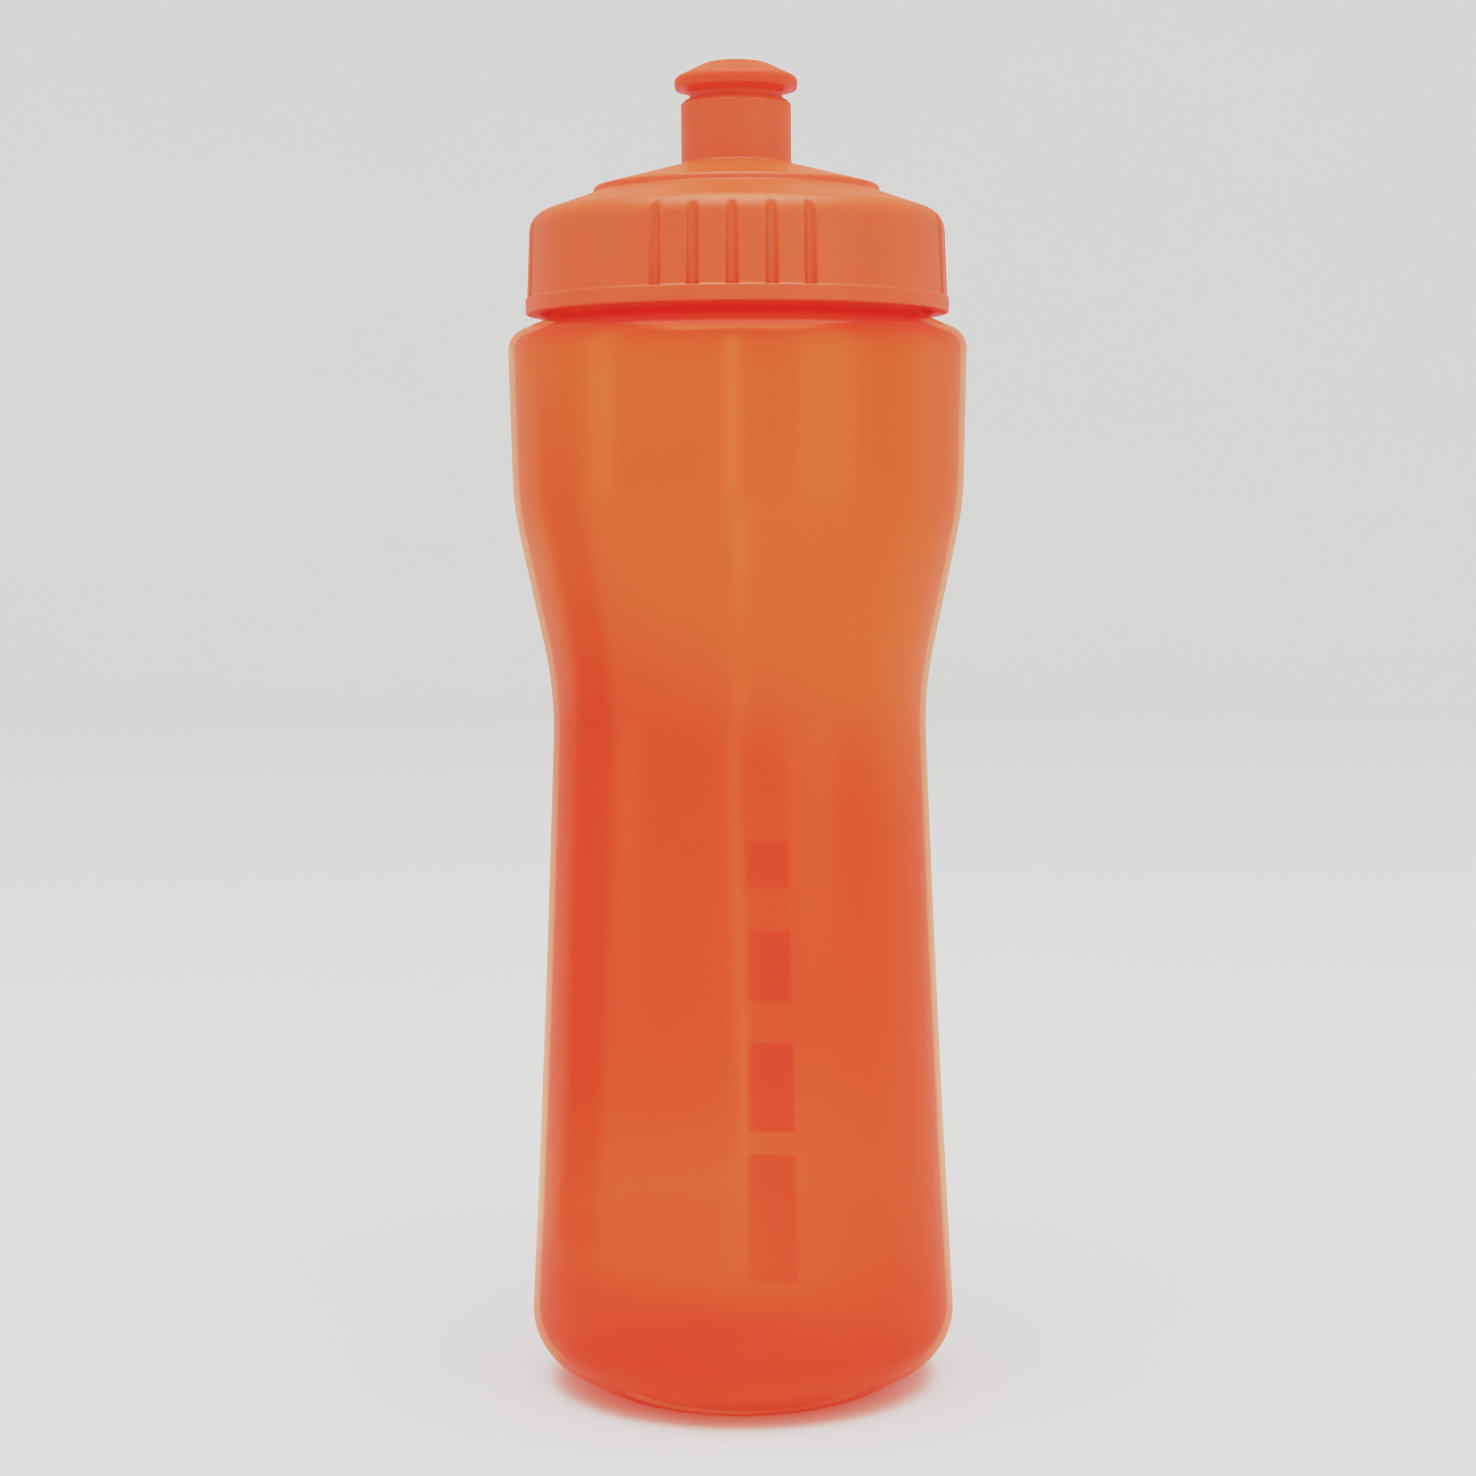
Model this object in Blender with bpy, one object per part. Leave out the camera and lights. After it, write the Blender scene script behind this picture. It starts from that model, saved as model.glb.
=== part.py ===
"""Sports squeeze bottle: a soft waisted body, a sealing ring, a screw lid and a push-pull spout.

Sizes are in millimetres until a mesh is made, and meshes are in metres. The origin is the
middle of the foot that the bottle stands on, +Z is up, and the front is towards -Y.
"""
import math

import bmesh
import bpy
from mathutils import Matrix, Vector

MM = 0.001

# Overall
MAX_RADIUS = 36.8          # widest part, just under the shoulder
SHOULDER_HEIGHT = 170.0
BODY_WALL = 1.0
PUSH_UP = 3.0              # how far the middle of the base stands clear of the table
BASE_WALL = 1.3
BASE_STRETCHES = 4         # stretches of the outline, from the axis outwards, that have the base's wall
NECK_WALL = 1.5

# Neck, lid seat and screw thread
NECK_RADIUS = 29.6
NECK_ROOT_HEIGHT = 173.0
RIM_HEIGHT = 185.9
GAP = 0.3                  # between pieces that rest on each other
LEAD = 5.0                 # rise of the thread in one turn, single start, right hand
BOTTLE_THREAD_TURNS = 1.5
CAP_THREAD_TURNS = 1.25
BOTTLE_THREAD_HEIGHT = 176.2
THREAD_DROP = 1.85         # the lid's thread lies this far under the bottle's thread
THREAD_FADE = math.radians(25)    # turn over which a thread grows to its full height
THREAD_START = 0.05        # its share of the full height at the very end
ROOT_HALF_WIDTH = 1.25
CREST_HALF_WIDTH = 0.5
BOTTLE_CREST_RADIUS = 31.0
CAP_CREST_RADIUS = 30.1

# Lid
CAP_BASE_HEIGHT = 173.3
FLANGE_RADIUS = 33.9
FLANGE_HEIGHT = 2.35
FLANGE_STEP = 0.28         # how far the flange stands proud of the skirt
FLANGE_SLOPE = 0.35        # height of the slope between the two
SKIRT_TOP_RADIUS = 33.1
SKIRT_TOP_HEIGHT = 188.8
SKIRT_ROUND = 3.7          # rounding between skirt and roof
SKIRT_BORE = 31.6
STEP_RADIUS = 23.0
STEP_HEIGHT = 192.35
STEP_RISE = 1.1
STEP_DRAFT = 0.25
STEP_ROUND = 0.6
ROOF_WALL = 1.8
KEEPER_RADIUS = 27.4       # ring under the lid that holds the seal in place
KEEPER_WALL = 1.2
KEEPER_END_HEIGHT = 184.9

# Collar on the lid, with the tube and the plug pin inside it
COLLAR_RADIUS = 8.8
COLLAR_BORE = 7.7
COLLAR_FOOT_HEIGHT = 197.1
COLLAR_TOP_HEIGHT = 207.12
COLLAR_CHAMFER = 0.62
COLLAR_FLOOR_HEIGHT = 197.0
TUBE_RADIUS = 5.2
TUBE_BORE = 4.0
TUBE_TOP_HEIGHT = 206.3
TUBE_BEAD_RADIUS = 5.75
TUBE_BEAD_HEIGHT = 204.4
BEAD_WIDTH = 1.2
PIN_RADIUS = 2.2
PIN_LOW_HEIGHT = 200.4
PIN_TOP_HEIGHT = 212.6
PIN_ROUND = 0.8
RIB_LOW_HEIGHT = 201.0
RIB_TOP_HEIGHT = 204.0
RIB_WIDTH = 1.2
RIB_COUNT = 3

# Grip grooves
GROOVES_IN_GROUPS = (5, 4, 5, 4)  # front, right, back and left group
GROOVE_PITCH = math.radians(10.3)
GRIP_TURN = math.radians(-91.3)   # direction of the front group
GROOVE_HALF_WIDTH = 1.0
GROOVE_REACH = 1.3         # half depth of the oval rod that cuts a groove
GROOVE_FLOOR_RADIUS = 32.5
GROOVE_SIDES = 12

# Seal
SEAL_INNER = 27.8
SEAL_OUTER = 31.2
SEAL_THICKNESS = 1.5

# Spout
STEM_RADIUS = 7.45
STEM_BORE = 5.95
STEM_BEAD_BORE = 5.45
SPOUT_TOP_HEIGHT = 213.2
SPOUT_ROOF = 2.3
DRINK_HOLE_RADIUS = 2.45
LIP_UNDER_HEIGHT = 208.2
LIP_EDGE_RADIUS = 9.7
LIP_EDGE_HEIGHT = 208.85
LIP_EDGE_ROUND = 0.25
LIP_SIDE_RADIUS = 9.96     # where the side and the crown of the lip would meet unrounded
LIP_SIDE_HEIGHT = 210.6
LIP_SIDE_ROUND = 1.1
LIP_CROWN_RADIUS = 4.65    # where the crown turns into the flat top
LIP_CROWN_ROUND = 5.2
SNAP_SLOPE = 0.4           # height of the sloping side of the stem's bead

# Fineness
SIDES = 48                 # flat sides of a turned shape
ARC_SAG = 0.14             # largest gap between a round stretch and its chords


def clear_scene():
    for obj in list(bpy.data.objects):
        bpy.data.objects.remove(obj, do_unlink=True)


def plastic(name, colour, roughness, transmission=0.0):
    """A moulded plastic or rubber of one colour."""
    material = bpy.data.materials.new(name)
    material.use_nodes = True
    shader = material.node_tree.nodes["Principled BSDF"]
    shader.inputs["Base Color"].default_value = (*colour, 1.0)
    shader.inputs["Roughness"].default_value = roughness
    shader.inputs["Metallic"].default_value = 0.0
    shader.inputs["Transmission Weight"].default_value = transmission
    return material


def rounded(corners, closed):
    """Points of an outline of (radius, height, corner radius) corners, its round corners as chords."""
    points = []
    last = len(corners) - 1
    for number, (radius, height, corner) in enumerate(corners):
        here = Vector((radius, height))
        if corner == 0 or (not closed and number in (0, last)):
            points.append(here)
            continue
        back = (Vector(corners[number - 1][:2]) - here).normalized()
        ahead = (Vector(corners[(number + 1) % len(corners)][:2]) - here).normalized()
        turn = math.pi - back.angle(ahead)
        centre = here + (back + ahead).normalized() * corner / math.cos(turn / 2)
        arm = here + back * corner * math.tan(turn / 2) - centre
        side = math.copysign(1, back.x * ahead.y - back.y * ahead.x)
        chord_angle = 2 * math.acos(1 - min(ARC_SAG, corner) / corner)
        chords = max(2, math.ceil(turn / chord_angle))
        for step in range(chords + 1):
            points.append(centre + Matrix.Rotation(-side * turn * step / chords, 2) @ arm)
    return points


def inset(corners, walls):
    """The inner corners of an open outline, whose stretches lie each by its own wall to the left of it.

    The first and last corners have only one stretch, so they are left to the caller.
    """
    lines = []
    for start, end, wall in zip(corners, corners[1:], walls):
        along = (Vector(end[:2]) - Vector(start[:2])).normalized()
        lines.append((Vector(start[:2]) + Vector((-along.y, along.x)) * wall, along))
    moved = []
    for (point, along), (next_point, next_along), corner in zip(lines, lines[1:], corners[1:]):
        across = Vector((-next_along.y, next_along.x))
        reach = (next_point - point).dot(across) / along.dot(across)
        bend = along.x * next_along.y - along.y * next_along.x
        moved.append((*(point + along * reach), max(0, corner[2] - math.copysign(BODY_WALL, bend))))
    return moved


def turned(name, points, closed):
    """A solid turned about Z from an outline, which starts and ends on the axis unless it is closed."""
    mesh = bmesh.new()
    verts = [mesh.verts.new((point.x * MM, 0, point.y * MM)) for point in points]
    ends = verts[1:] + verts[:1] if closed else verts[1:]
    edges = [mesh.edges.new(pair) for pair in zip(verts, ends)]
    bmesh.ops.spin(mesh, geom=verts + edges, cent=(0, 0, 0), axis=(0, 0, 1), angle=math.tau,
                   steps=SIDES, use_merge=True)
    bmesh.ops.remove_doubles(mesh, verts=mesh.verts, dist=0.001 * MM)
    return finished(name, mesh)


def finished(name, mesh):
    """An object made from a bmesh, with its faces pointing out and its round sides smooth."""
    bmesh.ops.recalc_face_normals(mesh, faces=mesh.faces)
    data = bpy.data.meshes.new(name)
    mesh.to_mesh(data)
    mesh.free()
    data.shade_smooth()
    data.set_sharp_from_angle(angle=math.radians(35))
    obj = bpy.data.objects.new(name, data)
    bpy.context.collection.objects.link(obj)
    return obj


def axis_empty(name, height, parent=None):
    """An empty on the bottle's axis, which a moving piece turns about or slides along."""
    empty = bpy.data.objects.new(name, None)
    empty.empty_display_size = 10 * MM
    bpy.context.collection.objects.link(empty)
    place(empty, height, parent)
    return empty


def place(obj, height, parent):
    """Puts an object's origin on the axis at this height and hangs it under its parent."""
    if parent:
        obj.parent = parent
        parent_height = parent.matrix_world.translation.z / MM
    else:
        parent_height = 0
    obj.location.z = (height - parent_height) * MM
    bpy.context.view_layer.update()


def lower_to_origin(obj, height):
    """Moves a mesh down, so that this height becomes its object's own zero."""
    obj.data.transform(Matrix.Translation((0, 0, -height * MM)))


def combine(target, helper, operation):
    """Joins a helper to a piece or cuts it away, and leaves the helper as a wire guide."""
    modifier = target.modifiers.new(helper.name, "BOOLEAN")
    modifier.operation = operation
    modifier.solver = "EXACT"
    modifier.object = helper
    helper.hide_render = True
    helper.display_type = "WIRE"


def thread_ridge(name, root_radius, crest_radius, middle_height, turns, start_angle):
    """A right-hand helical ridge, which sinks into its wall over a short stretch at each end."""
    mesh = bmesh.new()
    steps = round(SIDES * turns)
    sections = []
    for step in range(steps + 1):
        angle = math.tau * turns * step / steps
        end_distance = min(angle, math.tau * turns - angle)
        growth = min(1, THREAD_START + end_distance / THREAD_FADE)
        crest = root_radius + (crest_radius - root_radius) * growth
        height = middle_height + LEAD * angle / math.tau
        corners = ((root_radius, -ROOT_HALF_WIDTH), (crest, -CREST_HALF_WIDTH),
                   (crest, CREST_HALF_WIDTH), (root_radius, ROOT_HALF_WIDTH))
        turn = Matrix.Rotation(start_angle + angle, 3, "Z")
        sections.append([mesh.verts.new(turn @ Vector((radius, 0, height + rise)) * MM)
                         for radius, rise in corners])
    for low, high in zip(sections, sections[1:]):
        for side in range(4):
            other = (side + 1) % 4
            mesh.faces.new((low[side], low[other], high[other], high[side]))
    mesh.faces.new(sections[0])
    mesh.faces.new(sections[-1])
    return finished(name, mesh)


def body_corners():
    """The outside of the body from the middle of its base up to the rim."""
    return [
        (0, PUSH_UP, 0),
        (14.0, PUSH_UP, 8.0),
        (20.0, 0, 0.8),                        # the ring that the bottle stands on, inner edge
        (23.45, 0, 5.75),                      # and outer edge
        (34.8, 6.55, 9.5),                     # heel
        (32.0, 60.0, 5000.0),                  # the lower wall hollows very slightly
        (29.9, 113.0, 61.0),                   # waist
        (36.2, 142.8, 52.0),                   # hip
        (MAX_RADIUS, SHOULDER_HEIGHT, 3.6),
        (NECK_RADIUS, NECK_ROOT_HEIGHT, 1.2),
        (NECK_RADIUS, RIM_HEIGHT, 0),
    ]


def make_body():
    outside = body_corners()
    walls = [BASE_WALL] * BASE_STRETCHES + [BODY_WALL] * (len(outside) - BASE_STRETCHES - 2) + [NECK_WALL]
    inside = inset(outside, walls)
    inside.insert(0, (0, outside[0][1] + BASE_WALL, 0))
    inside.append((NECK_RADIUS - NECK_WALL, RIM_HEIGHT, 0))
    outline = rounded(outside, closed=False) + rounded(inside, closed=False)[::-1]
    body = turned("bottle_body", outline, closed=False)
    ridge = thread_ridge("bottle_thread", NECK_RADIUS - NECK_WALL / 2, BOTTLE_CREST_RADIUS,
                         BOTTLE_THREAD_HEIGHT, BOTTLE_THREAD_TURNS, math.pi / SIDES)
    combine(body, ridge, "UNION")
    return body


def roof_height(radius):
    """Height of the lid's outer slope between the skirt and the step."""
    share = (SKIRT_TOP_RADIUS - radius) / (SKIRT_TOP_RADIUS - STEP_RADIUS)
    return SKIRT_TOP_HEIGHT + share * (STEP_HEIGHT - SKIRT_TOP_HEIGHT)


def cap_corners():
    """The lid's wall as a closed outline, from the foot of its bore round the outside and back."""
    seat = RIM_HEIGHT + SEAL_THICKNESS + 2 * GAP
    flange_top = CAP_BASE_HEIGHT + FLANGE_HEIGHT
    keeper_inner = KEEPER_RADIUS - KEEPER_WALL
    inner_step = STEP_RADIUS - ROOF_WALL
    floor_under = COLLAR_FLOOR_HEIGHT - ROOF_WALL
    bead_top = TUBE_BEAD_HEIGHT + BEAD_WIDTH
    return [
        (SKIRT_BORE, CAP_BASE_HEIGHT, 0),
        (FLANGE_RADIUS, CAP_BASE_HEIGHT, 0),
        (FLANGE_RADIUS, flange_top, 0),
        (FLANGE_RADIUS - FLANGE_STEP, flange_top + FLANGE_SLOPE, 0),
        (SKIRT_TOP_RADIUS, SKIRT_TOP_HEIGHT, SKIRT_ROUND),
        (STEP_RADIUS, STEP_HEIGHT, 0),
        (STEP_RADIUS - STEP_DRAFT, STEP_HEIGHT + STEP_RISE, STEP_ROUND),
        (COLLAR_RADIUS, COLLAR_FOOT_HEIGHT, 0),
        (COLLAR_RADIUS, COLLAR_TOP_HEIGHT - COLLAR_CHAMFER, 0),
        (COLLAR_RADIUS - COLLAR_CHAMFER, COLLAR_TOP_HEIGHT, 0),
        (COLLAR_BORE, COLLAR_TOP_HEIGHT, 0),
        (COLLAR_BORE, COLLAR_FLOOR_HEIGHT, 0),
        (TUBE_RADIUS, COLLAR_FLOOR_HEIGHT, 0),
        (TUBE_RADIUS, TUBE_BEAD_HEIGHT, 0),
        (TUBE_BEAD_RADIUS, TUBE_BEAD_HEIGHT, 0),
        (TUBE_BEAD_RADIUS, TUBE_BEAD_HEIGHT + BEAD_WIDTH / 2, 0),
        (TUBE_RADIUS, bead_top, 0),
        (TUBE_RADIUS, TUBE_TOP_HEIGHT, 0),
        (TUBE_BORE, TUBE_TOP_HEIGHT, 0),
        (TUBE_BORE, floor_under, 0),
        (COLLAR_RADIUS, floor_under, 0),
        (inner_step, STEP_HEIGHT + STEP_RISE - ROOF_WALL, 0),
        (inner_step, roof_height(inner_step) - ROOF_WALL, 0),
        (keeper_inner, roof_height(keeper_inner) - ROOF_WALL, 0),
        (keeper_inner, KEEPER_END_HEIGHT, 0),
        (KEEPER_RADIUS, KEEPER_END_HEIGHT, 0),
        (KEEPER_RADIUS, seat, 0),
        (SKIRT_BORE, seat, 0),
    ]


def make_cap():
    cap = turned("screw_cap", rounded(cap_corners(), closed=True), closed=True)
    ridge = thread_ridge("cap_thread", (SKIRT_BORE + GROOVE_FLOOR_RADIUS) / 2, CAP_CREST_RADIUS,
                         BOTTLE_THREAD_HEIGHT - THREAD_DROP + LEAD / 4, CAP_THREAD_TURNS,
                         math.pi / 2 + math.pi / SIDES)
    combine(cap, ridge, "UNION")
    combine(cap, make_plug_ribs(), "UNION")
    combine(cap, make_plug_pin(), "UNION")
    combine(cap, make_groove_cutter(), "DIFFERENCE")
    return cap


def make_plug_pin():
    """The pin that stands in the drinking hole while the spout is down."""
    outline = [
        (0, PIN_LOW_HEIGHT, 0),
        (PIN_RADIUS, PIN_LOW_HEIGHT, PIN_ROUND),
        (PIN_RADIUS, PIN_TOP_HEIGHT, PIN_ROUND),
        (0, PIN_TOP_HEIGHT, 0),
    ]
    return turned("plug_pin", rounded(outline, closed=False), closed=False)


def make_plug_ribs():
    """Ribs that carry the pin in the middle of the tube and leave room for the drink to pass."""
    mesh = bmesh.new()
    inner = PIN_RADIUS - RIB_WIDTH / 2
    outer = (TUBE_BORE + TUBE_RADIUS) / 2
    middle_height = (RIB_LOW_HEIGHT + RIB_TOP_HEIGHT) / 2
    middle = Matrix.Translation(Vector(((inner + outer) / 2, 0, middle_height)) * MM)
    size = Matrix.Diagonal((outer - inner, RIB_WIDTH, RIB_TOP_HEIGHT - RIB_LOW_HEIGHT, 1 / MM)) * MM
    for rib in range(RIB_COUNT):
        turn = Matrix.Rotation(math.tau * (rib + 0.5) / RIB_COUNT, 4, "Z")
        bmesh.ops.create_cube(mesh, size=1, matrix=turn @ middle @ size)
    return finished("plug_ribs", mesh)


def make_groove_cutter():
    """Upright oval rods that cut the grip grooves from the flange up, until the lid rounds away from them."""
    mesh = bmesh.new()
    low = CAP_BASE_HEIGHT + FLANGE_HEIGHT + FLANGE_SLOPE / 2
    high = STEP_HEIGHT
    middle = Matrix.Translation(Vector((GROOVE_FLOOR_RADIUS + GROOVE_REACH, 0, (low + high) / 2)) * MM)
    size = Matrix.Diagonal((GROOVE_REACH, GROOVE_HALF_WIDTH, high - low, 1 / MM)) * MM
    for group, grooves in enumerate(GROOVES_IN_GROUPS):
        for groove in range(grooves):
            angle = GRIP_TURN + math.tau * group / len(GROOVES_IN_GROUPS)
            angle += (groove - (grooves - 1) / 2) * GROOVE_PITCH
            turn = Matrix.Rotation(angle, 4, "Z")
            bmesh.ops.create_cone(mesh, cap_ends=True, segments=GROOVE_SIDES, depth=1, radius1=1,
                                  radius2=1, matrix=turn @ middle @ size)
    return finished("groove_cutter", mesh)


def make_seal():
    low = RIM_HEIGHT + GAP
    high = low + SEAL_THICKNESS
    outline = [(SEAL_INNER, low, 0), (SEAL_OUTER, low, 0), (SEAL_OUTER, high, 0), (SEAL_INNER, high, 0)]
    return turned("lid_seal", rounded(outline, closed=True), closed=True)


def make_spout():
    """The pull-up spout: a wide lip to grip with the teeth, and a stem between collar and tube."""
    low = COLLAR_FLOOR_HEIGHT + GAP
    bead_top = low + BEAD_WIDTH
    ceiling = SPOUT_TOP_HEIGHT - SPOUT_ROOF
    outline = [
        (STEM_BEAD_BORE, low, 0),
        (STEM_RADIUS, low, 0),
        (STEM_RADIUS, LIP_UNDER_HEIGHT, 0),
        (LIP_EDGE_RADIUS, LIP_EDGE_HEIGHT, LIP_EDGE_ROUND),
        (LIP_SIDE_RADIUS, LIP_SIDE_HEIGHT, LIP_SIDE_ROUND),
        (LIP_CROWN_RADIUS, SPOUT_TOP_HEIGHT, LIP_CROWN_ROUND),
        (DRINK_HOLE_RADIUS, SPOUT_TOP_HEIGHT, 0),
        (DRINK_HOLE_RADIUS, ceiling, 0),
        (STEM_BORE, ceiling, 0),
        (STEM_BORE, bead_top, 0),
        (STEM_BEAD_BORE, bead_top - SNAP_SLOPE, 0),
    ]
    return turned("pull_spout", rounded(outline, closed=True), closed=True)


def main():
    clear_scene()
    body_plastic = plastic("body_plastic", (0.72, 0.13, 0.045), 0.35, transmission=0.4)
    cap_plastic = plastic("cap_plastic", (0.72, 0.125, 0.05), 0.38)
    spout_plastic = plastic("spout_plastic", (0.72, 0.11, 0.045), 0.34)
    seal_rubber = plastic("seal_rubber", (0.62, 0.6, 0.56), 0.7)

    body = make_body()
    lift_axis = axis_empty("lift_axis", RIM_HEIGHT)
    seal = make_seal()
    turn_axis = axis_empty("turn_axis", RIM_HEIGHT, lift_axis)
    cap = make_cap()
    spout_axis = axis_empty("spout_axis", COLLAR_FLOOR_HEIGHT, turn_axis)
    spout = make_spout()

    for piece, material, height, parent in (
        (body, body_plastic, 0, None),
        (seal, seal_rubber, RIM_HEIGHT, lift_axis),
        (cap, cap_plastic, RIM_HEIGHT, turn_axis),
        (spout, spout_plastic, COLLAR_FLOOR_HEIGHT, spout_axis),
    ):
        piece.data.materials.append(material)
        lower_to_origin(piece, height)
        place(piece, height, parent)


main()
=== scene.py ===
"""Sports squeeze bottle: the looks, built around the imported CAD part.

Outlines are in millimetres. Each turned piece is measured from the lowest point of its own CAD
node, so a piece lies where its node lies. The front of the bottle is towards -Y.
"""

import math

import bmesh
import bpy
import numpy as np
from mathutils import Matrix, Vector


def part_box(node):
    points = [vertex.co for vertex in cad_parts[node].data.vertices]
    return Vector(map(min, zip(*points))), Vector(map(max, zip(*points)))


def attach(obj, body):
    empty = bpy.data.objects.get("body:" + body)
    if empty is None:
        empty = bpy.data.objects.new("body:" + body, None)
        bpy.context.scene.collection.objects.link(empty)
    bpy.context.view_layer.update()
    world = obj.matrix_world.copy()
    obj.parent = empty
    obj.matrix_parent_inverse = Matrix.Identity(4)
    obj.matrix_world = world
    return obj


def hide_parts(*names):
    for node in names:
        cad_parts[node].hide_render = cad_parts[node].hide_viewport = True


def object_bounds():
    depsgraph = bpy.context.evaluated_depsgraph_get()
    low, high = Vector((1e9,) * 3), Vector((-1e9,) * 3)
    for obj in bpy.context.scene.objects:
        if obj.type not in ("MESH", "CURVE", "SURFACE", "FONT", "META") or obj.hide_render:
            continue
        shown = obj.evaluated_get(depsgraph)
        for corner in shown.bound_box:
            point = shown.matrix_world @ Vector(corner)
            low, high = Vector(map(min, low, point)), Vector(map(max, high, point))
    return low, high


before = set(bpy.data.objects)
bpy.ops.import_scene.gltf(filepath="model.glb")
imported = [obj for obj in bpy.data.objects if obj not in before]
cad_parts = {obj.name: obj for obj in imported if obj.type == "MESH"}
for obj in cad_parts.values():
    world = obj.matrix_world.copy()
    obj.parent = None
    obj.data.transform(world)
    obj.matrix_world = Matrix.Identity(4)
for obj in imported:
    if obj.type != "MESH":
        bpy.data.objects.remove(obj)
CAD_BOX = [list(corner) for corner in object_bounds()]

MM = 0.001
HAIR = 0.01                # mm that the fine shapes stay inside the CAD box

# Body
PUSH_UP = 3.0
BASE_WALL = 1.3
BASE_STRETCHES = 4         # stretches of the outline, from the axis outwards, that have the base's wall
BODY_WALL = 1.0
NECK_WALL = 1.5
NECK_RADIUS = 29.6
NECK_ROOT_HEIGHT = 173.0
RIM_HEIGHT = 185.9
SEAM_LENGTH = 22.0         # the weld across the base
SEAM_WIDTH = 0.9
SEAM_DEPTH = 0.5

# Screw thread, single start, right hand
LEAD = 5.0
THREAD_FADE = math.radians(25)
THREAD_START = 0.05
ROOT_HALF_WIDTH = 1.25
CREST_HALF_WIDTH = 0.5
CAD_SIDES = 48
BOTTLE_THREAD_HEIGHT = 176.2
BOTTLE_THREAD_TURNS = 1.5
BOTTLE_CREST_RADIUS = 31.0
CAP_THREAD_DROP = 1.85
CAP_THREAD_TURNS = 1.25
CAP_THREAD_FROM = math.pi / 2
CAP_CREST_RADIUS = 30.1
CAP_THREAD_ROOT = 32.05

# Lid, heights above its lower edge
CAP_BASE_HEIGHT = 173.3
FLANGE_RADIUS = 33.9
FLANGE_HEIGHT = 2.35
FLANGE_STEP = 0.28
FLANGE_SLOPE = 0.35
SKIRT_TOP_RADIUS = 33.1
SKIRT_TOP = 15.5
SKIRT_ROUND = 3.7
SKIRT_BORE = 31.6
SEAT = 14.7
STEP_RADIUS = 23.0
STEP = 19.05
STEP_RISE = 1.1
STEP_DRAFT = 0.25
ROOF_WALL = 1.8
KEEPER_RADIUS = 27.4
KEEPER_WALL = 1.2
KEEPER_END = 11.6
COLLAR_RADIUS = 8.8
COLLAR_BORE = 7.7
COLLAR_FOOT = 23.8
COLLAR_TOP = 33.82
COLLAR_CHAMFER = 0.62
COLLAR_FLOOR = 23.7
TUBE_RADIUS = 5.2
TUBE_BORE = 4.0
TUBE_TOP = 33.0
TUBE_BEAD_RADIUS = 5.75
TUBE_BEAD = 31.1
BEAD_WIDTH = 1.2
PIN_RADIUS = 2.2
PIN_LOW = 27.1
PIN_TOP = 39.3
RIB_LOW = 27.7
RIB_TOP = 30.7
RIB_WIDTH = 1.2
RIB_COUNT = 3

# Grip grooves
GROOVES_IN_GROUPS = (5, 4, 5, 4)  # front, right, back and left group
GROOVE_PITCH = math.radians(10.3)
GRIP_TURN = math.radians(-91.3)
GROOVE_HALF_WIDTH = 1.0
GROOVE_REACH = 1.3
GROOVE_FLOOR_RADIUS = 32.5
GROOVE_LEDGE = FLANGE_HEIGHT + FLANGE_SLOPE / 2
GROOVE_TOP = 18.0
GROOVE_FADE = 0.1          # share of a groove's half width over which it runs into the skirt

# Spout, heights above its lower edge
STEM_RADIUS = 7.45
STEM_BORE = 5.95
STEM_BEAD_BORE = 5.45
SPOUT_TOP = 15.9
SPOUT_ROOF = 2.3
DRINK_HOLE_RADIUS = 2.45
SNAP_SLOPE = 0.4
LIP_UNDER = 10.9
LIP_EDGE_RADIUS = 9.7
LIP_EDGE = 11.55
LIP_SIDE_RADIUS = 9.96     # where the side and the crown of the lip would meet unrounded
LIP_SIDE = 13.3
LIP_CROWN_RADIUS = 4.65    # where the crown turns into the flat top

# Seal
SEAL_INNER = 27.8
SEAL_EDGE = 0.3

# Fineness
FINE_SAG = 0.008           # mm between a round corner and its chords
EDGE = 0.12                # mm of rounding on edges that are sharp in the CAD
SUPPORT = 0.1              # mm from a corner to the point that keeps the flat beside it flat
SOFT = 0.12                # mm over which a ridge or groove runs into its wall
LONGEST_STEP = 4.0         # mm between points of a smooth outline
THREAD_STEP = 0.4
BODY_COLUMNS = 320
LID_COLUMNS = 150
GROOVE_COLUMNS = 17
GROOVE_SPREAD = math.radians(2.5)   # half of the turn that a groove's own columns cover
SPOUT_COLUMNS = 192
PIN_COLUMNS = 96
SEAM_COLUMNS = 48


# ---------------------------------------------------------------- outlines

def round_corner(before, corner, after):
    """Points of one (radius, height, corner radius) corner of an outline, as chords."""
    here = Vector(corner[:2])
    rounding = corner[2]
    if rounding == 0:
        return [here]
    back = (Vector(before[:2]) - here).normalized()
    ahead = (Vector(after[:2]) - here).normalized()
    turn = math.pi - back.angle(ahead)
    centre = here + (back + ahead).normalized() * rounding / math.cos(turn / 2)
    arm = here + back * rounding * math.tan(turn / 2) - centre
    side = math.copysign(1, back.x * ahead.y - back.y * ahead.x)
    chord_angle = 2 * math.acos(1 - min(FINE_SAG, rounding) / rounding)
    chords = max(3, math.ceil(turn / chord_angle))
    return [centre + Matrix.Rotation(-side * turn * step / chords, 2) @ arm for step in range(chords + 1)]


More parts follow.
